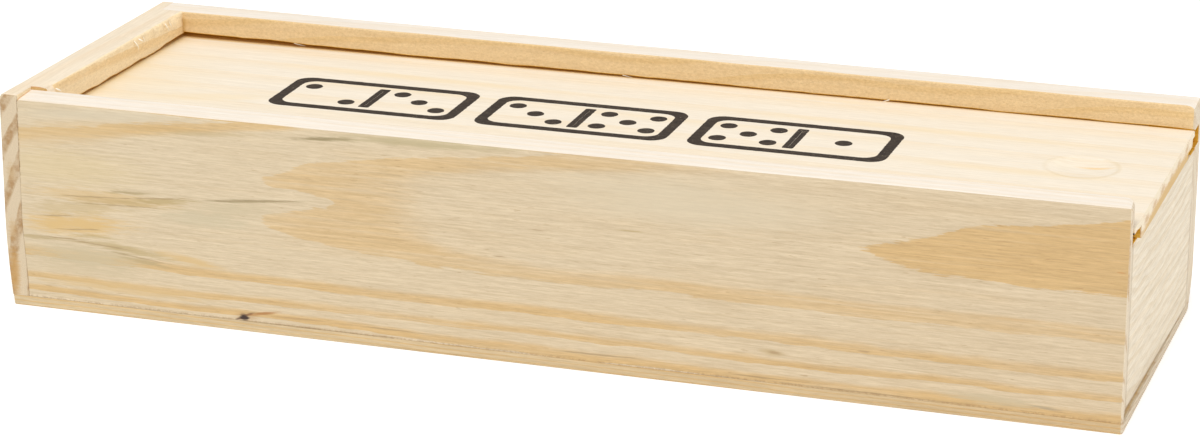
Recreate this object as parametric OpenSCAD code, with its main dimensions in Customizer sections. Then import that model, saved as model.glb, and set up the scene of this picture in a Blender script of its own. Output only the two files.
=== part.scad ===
// Domino storage box of plain pine with a lid that slides out at one end.
// The origin is the middle of the underside, +X points to the end where the lid comes out,
// -Y is the front and +Z is up.

/* [Box] */
// Length over everything
box_l = 150; // [125:1:200]
// Width over the two side boards
box_w = 50; // [40:1:75]
// Height over everything
box_h = 29.2; // [24:0.1:44]

/* [Boards] */
// Thickness of the front and back boards
side_t = 4.5; // [3.6:0.1:7]
// Thickness of the tall board at the closed end
closed_t = 5; // [4:0.1:8]
// Thickness of the low board under the lid's free end
open_t = 5; // [3:0.1:9]
// Thickness of the bottom panel
bottom_t = 1.4; // [1:0.1:3]
// How far the side boards' ends are let into the closed end board
rabbet_d = 2; // [1:0.1:3]

/* [Lid groove] */
// Height of the rim of wood above the groove
rim_h = 3.15; // [2:0.05:6]
// Height of the groove
groove_h = 1.85; // [1.4:0.05:3]
// Depth of the groove in the side boards
groove_d = 2.6; // [1.5:0.1:2.9]

/* [Lid] */
// Full thickness of the lid
lid_t = 2.5; // [2.2:0.05:4]
// Open space between a side board and the lid's thick middle
shoulder_gap = 2; // [0.4:0.1:5]
// Radius in the inner corner of the rebates under the lid
rebate_r = 0.3; // [0.1:0.05:0.5]

/* [Thumb recess] */
// Diameter of the thumb recess
thumb_d = 9.4; // [7:0.1:16]
// Depth of the thumb recess
thumb_depth = 0.6; // [0.3:0.05:1]
// Distance from the lid's free end to the middle of the thumb recess
thumb_in = 11; // [9:0.5:30]

/* [Sanded edges] */
// Radius on the box's outer top edges
top_r = 0.8; // [0.3:0.1:1.5]
// Radius on the box's upright corners
corner_r = 1; // [0.3:0.1:1.8]
// Radius on the box's bottom edges
foot_r = 0.4; // [0.2:0.1:0.8]
// Radius on the inner edges and on the lid
inner_r = 0.3; // [0.1:0.05:0.5]

/* [Clearances] */
// Gap between the lid's tongue and the groove's floor
play_under = 0.05; // [0.02:0.01:0.2]
// Gap between the lid's tongue and the groove's roof
play_over = 0.35; // [0.1:0.05:0.6]
// Gap between the lid's long edge and the back of the groove
play_side = 0.4; // [0.1:0.05:0.8]
// Gap between the lid's inner end and the back of its groove
play_end = 0.3; // [0.1:0.05:0.8]
// Gap between the lid's underside and the low end board
play_end_board = 0.1; // [0.05:0.05:0.4]

/* [Hidden] */
$fn = 64;
overcut = 1; // how far a cutting shape runs past what it cuts

// Places of the inner faces, from the origin
shut_x = -box_l / 2 + closed_t;
seat_x = shut_x - rabbet_d;
open_x = box_l / 2 - open_t;
inner_y = box_w / 2 - side_t;

// Heights of the groove and of the lid in it
groove_top = box_h - rim_h;
groove_floor = groove_top - groove_h;
tongue_z = groove_floor + play_under;
lid_top = groove_top - play_over;
lid_z = lid_top - lid_t;
open_end_top = lid_z - play_end_board;

// Outline of the lid
lid_edge_y = inner_y + groove_d - play_side;
shoulder_y = inner_y - shoulder_gap;
lid_start_x = seat_x + play_end;
shoulder_x = shut_x + shoulder_gap;
lid_end_x = box_l / 2;
thumb_x = lid_end_x - thumb_in;
thumb_ball_r = (thumb_d * thumb_d / 4 + thumb_depth * thumb_depth) / (2 * thumb_depth);

// Rectangle from corner [x0, y0] to [x1, y1] with its lower corners rounded to low_r
// and its upper ones to high_r
module eased_rect(x0, y0, x1, y1, low_r, high_r) {
    difference() {
        translate([x0, y0]) square([x1 - x0, y1 - y0]);
        corner_cut(x0, y0, low_r, 1, 1);
        corner_cut(x1, y0, low_r, -1, 1);
        corner_cut(x0, y1, high_r, 1, -1);
        corner_cut(x1, y1, high_r, -1, -1);
    }
}

// What sanding takes off the corner at [x, y], where the wood lies to sx and sy
module corner_cut(x, y, r, sx, sy) {
    translate([x, y]) scale([sx, sy]) difference() {
        translate([-overcut, -overcut]) square(overcut + r);
        translate([r, r]) circle(r);
    }
}

// Outline of a section in Y and Z, drawn out along X from x0 to x1
module along_x(x0, x1) {
    translate([x0, 0, 0]) rotate([90, 0, 90]) linear_extrude(x1 - x0) children();
}

// Outline of a section in X and Z, drawn out along Y over the whole width and beyond
module across_box() {
    translate([0, box_w / 2 + overcut, 0]) rotate([90, 0, 0])
        linear_extrude(box_w + 2 * overcut) children();
}

// The whole box as one block with its outer edges sanded round: every board is cut from it
module sanded_block() {
    half_l = box_l / 2;
    half_w = box_w / 2;
    intersection() {
        linear_extrude(box_h)
            eased_rect(-half_l, -half_w, half_l, half_w, corner_r, corner_r);
        along_x(-half_l - overcut, half_l + overcut)
            eased_rect(-half_w, 0, half_w, box_h, foot_r, top_r);
        across_box()
            eased_rect(-half_l, 0, half_l, box_h, foot_r, top_r);
    }
}

// Groove for the lid's edge, cut into the side board whose inner face is at +Y
module groove_section() {
    translate([inner_y, groove_floor]) square([groove_d, groove_h]);
    corner_cut(inner_y, box_h, inner_r, 1, -1);
}

// Side board at +Y, with the groove open at the lid's end
module side_board() {
    intersection() {
        sanded_block();
        along_x(seat_x, box_l / 2 + overcut) difference() {
            translate([inner_y, bottom_t]) square([side_t + overcut, box_h]);
            groove_section();
        }
    }
}

module front_board() {
    color("#e8d3a6") mirror([0, 1, 0]) side_board();
}

module back_board() {
    color("#e6cd9c") side_board();
}

// Tall board, rabbeted at both ends for the side boards and grooved for the lid's inner end
module closed_end_board() {
    color("#e3c592") difference() {
        intersection() {
            sanded_block();
            across_box() difference() {
                translate([-box_l / 2 - overcut, bottom_t])
                    square([closed_t + overcut, box_h]);
                translate([seat_x, groove_floor]) square([rabbet_d + overcut, groove_h]);
                corner_cut(shut_x, box_h, inner_r, -1, -1);
            }
        }
        for (side = [-1, 1]) scale([1, side, 1])
            translate([seat_x, inner_y, 0]) cube([rabbet_d + overcut, side_t + overcut, box_h]);
    }
}

// Low board between the side boards, with room above it for the lid's thick middle
module open_end_board() {
    color("#ead9b4") intersection() {
        sanded_block();
        along_x(open_x, box_l / 2 + overcut) translate([-inner_y, bottom_t])
            square([2 * inner_y, open_end_top - bottom_t]);
        across_box() eased_rect(open_x, -overcut, box_l / 2, open_end_top, inner_r, inner_r);
    }
}

module bottom_panel() {
    color("#dcc08c") intersection() {
        sanded_block();
        translate([-box_l / 2, -box_w / 2, 0]) cube([box_l, box_w, bottom_t]);
    }
}

// Lid's section: a thick middle between two thin tongues
module lid_section() {
    eased_rect(-lid_edge_y, tongue_z, lid_edge_y, lid_top, inner_r, inner_r);
    eased_rect(-shoulder_y, lid_z, shoulder_y, lid_top, inner_r, inner_r);
    for (side = [-1, 1]) scale([side, 1]) difference() {
        translate([shoulder_y, tongue_z - rebate_r]) square([rebate_r, rebate_r]);
        translate([shoulder_y + rebate_r, tongue_z - rebate_r]) circle(rebate_r);
    }
}

// Lid, rebated underneath along both edges and across its inner end
module sliding_lid() {
    color("#f2e2bd") difference() {
        along_x(lid_start_x, lid_end_x) lid_section();
        across_box() translate([lid_start_x - overcut, lid_z - overcut])
            square([shoulder_x - lid_start_x + overcut, tongue_z - lid_z + overcut]);
        across_box() corner_cut(lid_end_x, lid_top, inner_r, -1, -1);
        translate([thumb_x, 0, lid_top - thumb_depth + thumb_ball_r]) sphere(thumb_ball_r);
    }
}

front_board();
back_board();
closed_end_board();
open_end_board();
bottom_panel();
sliding_lid();
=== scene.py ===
from math import cos, pi, radians, sin

import bmesh
import bpy
import numpy as np
from mathutils import Matrix, Vector
from mathutils.geometry import delaunay_2d_cdt


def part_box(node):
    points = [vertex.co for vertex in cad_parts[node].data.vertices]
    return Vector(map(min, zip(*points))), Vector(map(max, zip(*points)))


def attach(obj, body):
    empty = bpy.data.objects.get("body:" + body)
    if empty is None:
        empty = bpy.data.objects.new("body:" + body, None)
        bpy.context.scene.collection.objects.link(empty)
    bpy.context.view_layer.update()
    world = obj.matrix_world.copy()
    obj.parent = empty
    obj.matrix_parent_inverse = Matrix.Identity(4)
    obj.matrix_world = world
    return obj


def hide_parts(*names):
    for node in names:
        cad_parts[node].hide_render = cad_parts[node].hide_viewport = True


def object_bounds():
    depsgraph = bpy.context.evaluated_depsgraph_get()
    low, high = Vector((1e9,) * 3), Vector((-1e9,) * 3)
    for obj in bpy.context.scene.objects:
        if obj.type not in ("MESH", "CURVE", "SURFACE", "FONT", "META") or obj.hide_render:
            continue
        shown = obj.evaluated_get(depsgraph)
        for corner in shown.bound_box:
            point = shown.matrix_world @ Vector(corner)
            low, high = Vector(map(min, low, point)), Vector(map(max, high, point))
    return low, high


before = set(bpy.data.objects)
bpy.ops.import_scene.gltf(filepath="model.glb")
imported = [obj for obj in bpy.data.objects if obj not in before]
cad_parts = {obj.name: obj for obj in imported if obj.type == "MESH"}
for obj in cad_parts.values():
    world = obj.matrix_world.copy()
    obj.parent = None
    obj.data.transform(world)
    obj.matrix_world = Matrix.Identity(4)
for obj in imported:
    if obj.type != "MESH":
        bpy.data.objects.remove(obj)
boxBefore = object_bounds()
print("frame loaded")

mm = 0.001  # the sizes below are in millimetres


# Camera: a long lens in front of the box, a little to its right and above it
cameraSpot = {"azimuth": 18.042, "elevation": 18.365, "distance": 494.186, "roll": 0.164,
              "target": (0.085, -0.69, 12.379), "lens": 111.84}


def addCamera(spot):
    around, up = radians(spot["azimuth"]), radians(spot["elevation"])
    target = Vector(spot["target"]) * mm
    away = Vector((sin(around) * cos(up), -cos(around) * cos(up), sin(up)))
    data = bpy.data.cameras.new("camera")
    data.lens = spot["lens"]
    data.clip_start, data.clip_end = 0.01, 20
    camera = bpy.data.objects.new("camera", data)
    turn = away.to_track_quat("Z", "Y").to_matrix().to_4x4()
    roll = Matrix.Rotation(radians(spot["roll"]), 4, "Z")
    camera.matrix_world = Matrix.Translation(target + away * spot["distance"] * mm) @ turn @ roll
    bpy.context.collection.objects.link(camera)
    bpy.context.scene.camera = camera


addCamera(cameraSpot)


def setInputs(node, values):
    # sets a node's inputs by name or number, or links them where the value comes out of another node
    for key, value in values.items():
        socket = node.inputs[key]
        if isinstance(value, bpy.types.NodeSocket):
            node.id_data.links.new(value, socket)
        else:
            socket.default_value = (*value, 1) if socket.type == "RGBA" and len(value) == 3 else value


# Room: a pale floor, an even white surround, a large soft lamp above the front and a low one at the right
room = {"surround": 0.62, "floorColour": (0.9, 0.9, 0.9), "floorGlow": 0.3, "floorHalf": 3,
        "lamps": ({"at": (0, -0.38, 0.88), "size": 0.7, "power": 6},
                  {"at": (0.9, 0.02, 0.16), "size": 0.5, "power": 1.35}), "lampColour": (1, 0.99, 0.97)}


def addRoom(settings):
    scene = bpy.context.scene
    scene.view_settings.view_transform = "Standard"
    scene.world = bpy.data.worlds.new("surround")
    scene.world.use_nodes = True
    background = scene.world.node_tree.nodes["Background"]
    setInputs(background, {"Color": (1, 1, 1), "Strength": settings["surround"]})
    half = settings["floorHalf"]
    mesh = bpy.data.meshes.new("floor")
    corners = [(-half, -half, 0), (half, -half, 0), (half, half, 0), (-half, half, 0)]
    mesh.from_pydata(corners, [], [(0, 1, 2, 3)])
    floor = bpy.data.objects.new("floor", mesh)
    scene.collection.objects.link(floor)
    paint = bpy.data.materials.new("floorPaint")
    paint.use_nodes = True
    setInputs(paint.node_tree.nodes["Principled BSDF"], {
        "Base Color": settings["floorColour"], "Roughness": 0.9, "Emission Color": (1, 1, 1),
        "Emission Strength": settings["floorGlow"]})
    mesh.materials.append(paint)
    for one in settings["lamps"]:
        light = bpy.data.lights.new("softLamp", "AREA")
        light.shape, light.size = "SQUARE", one["size"]
        light.energy, light.color = one["power"], settings["lampColour"]
        lamp = bpy.data.objects.new("softLamp", light)
        lamp.location = one["at"]
        lamp.rotation_euler = Vector(one["at"]).to_track_quat("Z", "Y").to_euler()
        scene.collection.objects.link(lamp)


addRoom(room)
print("camera and room ready")


# Helpers for the boards' shapes

def latticeNoise(u, v, seed):
    # value noise: random heights on a whole-number grid, blended with 3t^2 - 2t^3 between them
    table = np.random.default_rng(seed).random((64, 64)) * 2 - 1
    i, j = np.floor(u).astype(int), np.floor(v).astype(int)
    s, t = u - i, v - j
    s, t = s * s * (3 - 2 * s), t * t * (3 - 2 * t)
    low = table[i % 64, j % 64] * (1 - s) + table[(i + 1) % 64, j % 64] * s
    high = table[i % 64, (j + 1) % 64] * (1 - s) + table[(i + 1) % 64, (j + 1) % 64] * s
    return low * (1 - t) + high * t


def unit(value):
    return np.clip(value, 0, 1)


def smoothStep(low, high, value):
    t = unit((value - low) / (high - low))
    return t * t * (3 - 2 * t)


def outline(corners, step):
    # closed outline from corners (across, up, radius, mark): each corner is turned through an arc that
    # touches both its edges, and the straight runs are split into pieces of about step, or of a fifth
    # value. The mark of a corner belongs to its arc and to the run that follows it.
    points, marks, ins, outs = [], [], [], []
    count = len(corners)
    for k in range(count):
        before, here, after = (np.array(corners[(k + d) % count][:2], float) for d in (-1, 0, 1))
        ins.append(here + (before - here) / np.linalg.norm(before - here) * corners[k][2])
        outs.append(here + (after - here) / np.linalg.norm(after - here) * corners[k][2])
    for k in range(count):
        here = np.array(corners[k][:2], float)
        turn = np.linspace(0, pi / 2, 7)[:, None]
        centre = ins[k] + outs[k] - here
        points.append(centre + (ins[k] - centre) * np.cos(turn) + (outs[k] - centre) * np.sin(turn))
        run = ins[(k + 1) % count] - outs[k]
        parts = max(1, int(round(np.linalg.norm(run) / (corners[k][4] if len(corners[k]) > 4 else step))))
        points.append(outs[k] + run * np.arange(1, parts)[:, None] / parts)
        marks += [(corners[k][3], 1)] * 7 + [(corners[k][3], 0)] * (parts - 1)
    return np.concatenate(points), np.array(marks)


def stations(start, end, step, fine, fineStep=0.06):
    # places along a board, close together over the last fine millimetres at both ends
    inner = np.linspace(start + fine, end - fine, int((end - start - 2 * fine) / step) + 1)
    turn = 1 - np.cos(np.linspace(0, pi / 2, int(fine / fineStep) + 1))
    return np.concatenate([start + fine * turn[:-1], inner, end - fine * turn[:-1][::-1]])


def skinFaces(count, around):
    # the four-sided faces between neighbouring stations, closed round the outline
    first = np.arange(count - 1)[:, None] * around
    here, beside = np.arange(around)[None, :], (np.arange(around) + 1)[None, :] % around
    quads = np.stack([first + here, first + beside, first + around + beside, first + around + here], -1)
    return quads.reshape(-1, 4).tolist()


def carry(flat, along, axis=0):
    # a flat outline carried along an axis: its places, and views of their X, Y and Z
    places = np.empty((len(along), len(flat), 3))
    places[..., axis] = along[:, None]
    places[..., 1 - axis], places[..., 2] = flat[:, 0], flat[:, 1]
    return places, *np.moveaxis(places, -1, 0)


def makePiece(name, places, faces, kinds, finishes, body, node=None, fields=None):
    # places in millimetres; kinds says which of the finishes each face has; fields are named values per place
    mesh = bpy.data.meshes.new(name)
    mesh.from_pydata((places * mm).tolist(), [], faces)
    for finish in finishes:
        mesh.materials.append(finish)
    mesh.polygons.foreach_set("material_index", np.asarray(kinds, dtype=np.int32))
    shell = bmesh.new()
    shell.from_mesh(mesh)
    bmesh.ops.recalc_face_normals(shell, faces=shell.faces)
    shell.to_mesh(mesh)
    shell.free()
    for key, values in {"rings": 0, "strength": 1, "seamAndShade": 0, **(fields or {})}.items():
        values = np.ascontiguousarray(np.broadcast_to(np.float32(values), len(places)))
        mesh.attributes.new(key, "FLOAT", "POINT").data.foreach_set("value", values)
    mesh.polygons.foreach_set("use_smooth", [True] * len(mesh.polygons))
    mesh.set_sharp_from_angle(angle=radians(35))
    mesh.update()
    piece = bpy.data.objects.new(name, mesh)
    bpy.context.collection.objects.link(piece)
    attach(piece, body)
    if node:
        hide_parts(node)
    print("made", name, len(mesh.polygons), "faces")


# Helpers for the finishes

def addNode(tree, kind, values=None, **settings):
    node = tree.nodes.new("ShaderNode" + kind)
    for key, value in settings.items():
        setattr(node, key, value)
    setInputs(node, values or {})
    return node


def maths(tree, operation, a, b=0, c=0):
    return addNode(tree, "Math", {0: a, 1: b, 2: c}, operation=operation).outputs[0]


def times(tree, a, b):
    return maths(tree, "MULTIPLY", a, b)


def wander(tree, noise, amount, base):
    # base, moved up and down by a noise that swings by amount
    return maths(tree, "MULTIPLY_ADD", maths(tree, "SUBTRACT", noise, 0.5), amount, base)


def vectorMaths(tree, operation, a, b):
    return addNode(tree, "VectorMath", {0: a, 1: b}, operation=operation).outputs[0]


def field(tree, name):
    return addNode(tree, "Attribute", attribute_name=name).outputs["Fac"]


def ramp(tree, value, low, high, start=0, end=1):
    # smooth step from start at low to end at high
    return addNode(tree, "MapRange", {"Value": value, "From Min": low, "From Max": high, "To Min": start,
                                      "To Max": end}, interpolation_type="SMOOTHSTEP").outputs["Result"]


def blendColour(tree, share, a, b, mode="MIX"):
    return addNode(tree, "Mix", {0: share, 6: a, 7: b}, data_type="RGBA", blend_type=mode,
                   clamp_factor=True).outputs[2]


def grainNoise(tree, position, scale, detail=2, rough=0.5):
    # noise on the position times a scale per axis, in waves per millimetre
    stretched = vectorMaths(tree, "MULTIPLY", position, scale)
    return addNode(tree, "TexNoise", {"Vector": stretched, "Scale": 1, "Detail": detail,
                                      "Roughness": rough}).outputs["Fac"]


def newGroup(name, inputs, outputs):
    # inputs and outputs name the sockets by their kind
    group = bpy.data.node_groups.new(name, "ShaderNodeTree")
    for side, sockets in (("INPUT", inputs), ("OUTPUT", outputs)):
        for kind, names in sockets.items():
            for key in names.split():
                group.interface.new_socket(key, in_out=side, socket_type="NodeSocket" + kind)
    return group, group.nodes.new("NodeGroupInput").outputs, group.nodes.new("NodeGroupOutput")


def placeGroup(tree, group, values):
    # values that the group has no input for are left out
    node = addNode(tree, "Group", node_tree=group)
    setInputs(node, {key: value for key, value in values.items() if key in node.inputs})
    return node.outputs


def makeLongGrain():
    # pine cut along its fibres, which run along X of the position
    tree, given, out = newGroup(
        "longGrain", {"Vector": "position fine", "Color": "pale late streak",
                      "Float": "rings strength lateStart lateFull streaks fibres ragged dashes strands"},
        {"Color": "colour", "Float": "height"})
    place = given["position"]
    rings = wander(tree, grainNoise(tree, place, (0.05, 0.3, 0.3)), 0.1, given["rings"])
    rings = wander(tree, grainNoise(tree, place, (0.32, 4.5, 4.5), 3, 0.65), given["ragged"], rings)
    part = maths(tree, "FRACT", rings)
    late = times(tree, ramp(tree, part, given["lateStart"], given["lateFull"]),
                 ramp(tree, part, 0.98, 0.999, 1, 0))
    # thin lines inside the latewood and the pale wood, and latewood that thins out in patches
    lines = grainNoise(tree, place, (0.03, 1.6, 1.6), 4, 0.65)
    patches = grainNoise(tree, place, (0.035, 0.25, 0.25), 3, 0.6)
    late = times(tree, late, ramp(tree, lines, 0.25, 0.6, 0.55, 1.1))
    late = times(tree, late, ramp(tree, patches, 0.3, 0.6, 0.7, 1.05))
    late = times(tree, late, given["strength"])
    colour = blendColour(tree, late, given["pale"], given["late"])
    share = times(tree, ramp(tree, lines, 0.5, 0.78), given["streaks"])
    colour = blendColour(tree, share, colour, given["streak"])
    share = times(tree, ramp(tree, patches, 0.5, 0.8), times(tree, given["streaks"], 0.5))
    colour = blendColour(tree, share, colour, given["late"])
    # short dark dashes of the resin ducts
    dash = grainNoise(tree, place, (0.5, 6, 6))
    share = times(tree, ramp(tree, dash, 0.66, 0.76), given["dashes"])
    colour = blendColour(tree, share, colour, given["streak"], "MULTIPLY")
    # fine fibres and longer strands of them, whose dark parts are also warmer
    fine = grainNoise(tree, place, given["fine"], 4, 0.75)
    shade = wander(tree, fine, given["fibres"], 1)
    strands = grainNoise(tree, place, (0.07, 2.8, 2.8), 3, 0.7)
    shade = wander(tree, strands, times(tree, given["fibres"], given["strands"]), shade)
    tint = addNode(tree, "CombineColor", {0: shade, 1: maths(tree, "POWER", shade, 1.15),
                                          2: maths(tree, "POWER", shade, 1.4)}).outputs[0]
    height = maths(tree, "MULTIPLY_ADD", late, 0.25, maths(tree, "MULTIPLY_ADD", lines, 0.4, fine))
    setInputs(out, {"colour": blendColour(tree, 1, colour, tint, "MULTIPLY"), "height": height})
    return tree


def makeEndGrain():
    # pine cut across its fibres: growth rings as bands, fine pores and rays, and a duller tone
    tree, given, out = newGroup(
        "endGrain", {"Vector": "position", "Color": "pale late",
                     "Float": "rings lateStart lateFull lateStrength"},
        {"Color": "colour", "Float": "height"})
    place = given["position"]
    rings = wander(tree, grainNoise(tree, place, (0.3, 0.3, 0.3), 3), 0.35, given["rings"])
    part = maths(tree, "FRACT", rings)
    late = times(tree, ramp(tree, part, given["lateStart"], given["lateFull"]),
                 ramp(tree, part, 0.9, 0.99, 1, 0))
    patchy = ramp(tree, grainNoise(tree, place, (1.1, 1.1, 1.1), 3), 0.3, 0.7, 0.35, 1)
    late = times(tree, times(tree, late, patchy), given["lateStrength"])
    colour = blendColour(tree, late, given["pale"], given["late"])
    pores = grainNoise(tree, place, (7, 7, 7), 3, 0.7)
    shade = ramp(tree, pores, 0.25, 0.75, 0.86, 1.08)
    grey = addNode(tree, "CombineColor", {0: shade, 1: shade, 2: shade}).outputs[0]
    setInputs(out, {"colour": blendColour(tree, 1, colour, grey, "MULTIPLY"),
                    "height": maths(tree, "MULTIPLY_ADD", late, 0.4, pores)})
    return tree


def makeSpot():
    # soft ragged ellipse seen along one axis, which plane takes out: 1 inside and 0 outside
    tree, given, out = newGroup("spot", {"Vector": "position centre tilt half plane stretch",
                                         "Float": "ragged soft"}, {"Float": "mask"})
    moved = vectorMaths(tree, "SUBTRACT", given["position"], given["centre"])
    turned = addNode(tree, "VectorRotate", {"Vector": moved, "Rotation": given["tilt"]},
                     rotation_type="EULER_XYZ").outputs[0]
    flat = vectorMaths(tree, "MULTIPLY", vectorMaths(tree, "DIVIDE", turned, given["half"]), given["plane"])
    reach = addNode(tree, "VectorMath", {0: flat}, operation="LENGTH").outputs["Value"]
    rough = grainNoise(tree, given["position"], given["stretch"], 3, 0.6)
    reach = wander(tree, rough, given["ragged"], reach)
    setInputs(out, {"mask": ramp(tree, reach, maths(tree, "SUBTRACT", 1, given["soft"]), 1, 1, 0)})
    return tree


longGrain, endGrain, spot = makeLongGrain(), makeEndGrain(), makeSpot()


def newFinish(name):
    material = bpy.data.materials.new(name)
    material.use_nodes = True
    tree = material.node_tree
    coordinates = addNode(tree, "TexCoord").outputs["Object"]
    inMm = addNode(tree, "VectorMath", {0: coordinates, "Scale": 1 / mm}, operation="SCALE").outputs[0]
    return material, tree, tree.nodes["Principled BSDF"], inMm


def turnGrain(tree, position, along):
    # turns the position so that the fibres run along X of the pattern
    if along == "X":
        return position
    return addNode(tree, "Mapping", {"Vector": position, "Rotation": (0, 0, radians(-90))}).outputs[0]


def seamTint(tree, position, colour, look):
    # tints by the attribute that marks the joints and painted shade: the joints in dark grains of dust and
    # glue, or evenly, and on the lid a painted shade beside the rims and round the recess
    share = field(tree, "seamAndShade")
    if not look.get("evenSeam"):
        grains = grainNoise(tree, position, (2.2, 2.2, 2.2), 2, 0.6)
        share = times(tree, share, ramp(tree, grains, 0.42, 0.6))
    share = times(tree, share, look.get("seamStrength", 0.7))
    return blendColour(tree, share, colour, look.get("seamTone", (0.3, 0.16, 0.06)))


def finishWood(tree, shader, colour, height, rough, bump):
    bumped = addNode(tree, "Bump", {"Height": height, "Strength": 1, "Distance": bump * mm})
    setInputs(shader, {"Base Color": colour, "Roughness": rough, "Normal": bumped.outputs["Normal"]})


def addSpots(tree, position, colour, spots, plane="XZ", along="X"):
    # paints soft ragged ellipses over the colour, one by one. Each is given as place, half size, tone
    # and strength, and then its raggedness, tilt and softness where they differ from the usual ones.
    for a, b, p, q, tone, strength, *rest in spots:
        ragged, tilt, soft = *rest, *(0.7, 0, 0.8)[len(rest):]
        centre, half, turn, flat = {"XZ": ((a, 0, b), (p, 1, q), (0, 1, 0), (1, 0, 1)),
                                    "XY": ((a, b, 0), (p, q, 1), (0, 0, -1), (1, 1, 0)),
                                    "YZ": ((0, a, b), (1, p, q), (-1, 0, 0), (0, 1, 1))}[plane]
        mask = placeGroup(tree, spot, {
            "position": position, "centre": centre, "half": half, "tilt": [radians(tilt) * t for t in turn],
            "plane": flat, "stretch": (0.3, 4, 4) if along == "X" else (4, 0.3, 4), "ragged": ragged * 1.25,
            "soft": soft})["mask"]
        colour = blendColour(tree, times(tree, mask, strength), colour, tone)
    return colour


def longFinish(name, look, along="X", spots=(), plane="XZ", **changes):
    look = {**look, **changes}
    material, tree, shader, inMm = newFinish(name)
    strength = times(tree, field(tree, "strength"), look["lateStrength"])
    made = placeGroup(tree, longGrain, {**look, "position": turnGrain(tree, inMm, along),
                                        "rings": field(tree, "rings"), "strength": strength})
    colour = addSpots(tree, inMm, made["colour"], spots, plane, along)
    if "fade" in look:
        # the board is a little duller towards its right end; on the front board this is painted shade where
        # the light falls off towards the right
        x = addNode(tree, "SeparateXYZ", {0: inMm}).outputs[0]
        share = addNode(tree, "MapRange", {"Value": x, "From Min": caseLow[0], "From Max": caseHigh[0]})
        colour = blendColour(tree, share.outputs["Result"], colour, look["fade"], "MULTIPLY")
    colour = seamTint(tree, inMm, colour, look)
    if "glow" in look:
        # painted glow: an emission standing in for light bounced between the wood faces in the shaded grooves
        # and gaps
        setInputs(shader, {"Specular IOR Level": 0.1, "Emission Color": look["glow"], "Emission Strength": 1})
    finishWood(tree, shader, colour, made["height"], look["rough"], look["bump"])
    return material


def endFinish(name, look, along="X", spots=(), plane="YZ", **changes):
    look = {**look, **changes}
    material, tree, shader, inMm = newFinish(name)
    made = placeGroup(tree, endGrain, {**look, "position": turnGrain(tree, inMm, along),
                                       "rings": field(tree, "rings")})
    colour = seamTint(tree, inMm, addSpots(tree, inMm, made["colour"], spots, plane), look)
    finishWood(tree, shader, colour, made["height"], look["rough"], look["bump"])
    return material


caseLow, caseHigh = np.array(boxBefore) / mm
pineLook = {"pale": (0.612, 0.499, 0.336), "late": (0.585, 0.4, 0.183), "streak": (0.53, 0.395, 0.22),
            "lateStart": 0.62, "lateFull": 0.84, "lateStrength": 1, "streaks": 0.35, "fibres": 0.58,
            "ragged": 0.13, "dashes": 0.4, "fine": (0.4, 6, 6), "strands": 0.8, "rough": 0.62, "bump": 0.03}
endLook = {"pale": (0.63, 0.53, 0.39), "late": (0.5, 0.33, 0.18), "lateStart": 0.45, "lateFull": 0.8,
           "lateStrength": 0.75, "rough": 0.75, "bump": 0.04}
# sawn faces inside the case: a saturated orange, partly the rough-sawn wood and partly painted bounce light
# between the inner faces
sawnLook = {**pineLook, "pale": (0.8, 0.585, 0.32), "late": (0.77, 0.54, 0.26), "streak": (0.72, 0.52, 0.29),
            "fibres": 0.6, "dashes": 0.1, "fine": (2.2, 4, 4), "strands": 0.3, "rough": 0.85,
            "bump": 0.1, "evenSeam": True, "seamTone": (0.56, 0.33, 0.07)}
# the groove's faces: a saturated ochre tone and a faint glow, both painted bounce light in the groove's shade,
# over sawn wood
grooveLook = {**sawnLook, "pale": (0.72, 0.42, 0.06), "late": (0.64, 0.34, 0.04), "streak": (0.55, 0.3, 0.05),
              "seamStrength": 0, "glow": (0.045, 0.019, 0)}
plainPine = longFinish("pineFace", pineLook)
plainEndLook = {**endLook, "pale": (0.695, 0.59, 0.44), "late": (0.6, 0.45, 0.3)}
plainEnd = endFinish("pineEnd", plainEndLook)
frontEnd = endFinish("pineFrontEnd", plainEndLook, late=(0.52, 0.35, 0.19), lateStart=0.72, lateFull=0.88,
                     lateStrength=1)
sawnPine = longFinish("pineSawn", sawnLook)
groovePine = longFinish("pineGroove", grooveLook)


# Sizes shared by the boards, from the frame
def boxInMm(node):
    return np.array(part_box(node)) / mm


sideLow, sideHigh = boxInMm("back_board")
closedLow, closedHigh = boxInMm("closed_end_board")
openLow, openHigh = boxInMm("open_end_board")
panelLow, panelHigh = boxInMm("bottom_panel")
lidLow, lidHigh = boxInMm("sliding_lid")
edges = {"top": 0.55, "corner": 0.45, "endTop": 1.3, "foot": 0.25, "inner": 0.2,
         "arris": 0.06, "step": 0.5, "fine": 0.8}
grooveSize = {"rim": 3.15, "height": 1.85, "depth": 2.6}
grooveRoof = sideHigh[2] - grooveSize["rim"]
grooveFloor = grooveRoof - grooveSize["height"]
# the finish for each part of a grooved board's outline: outside, top, rim, groove, lower lip and inside
partKinds = np.array((0, 4, 2, 3, 2, 2))


def insetAt(distance, radius):
    # how far an edge rounded to radius draws in at a distance from the end: r - sqrt(r^2 - (r - d)^2)
    t = unit(1 - distance / radius)
    return radius * (1 - np.sqrt(1 - t * t))


def drawIn(value, pivot, limit, inset):
    # moves what lies between pivot and limit towards pivot, by inset at the limit
    share = unit((value - pivot) / (limit - pivot))
    return value - share * inset * np.sign(limit - pivot)


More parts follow.
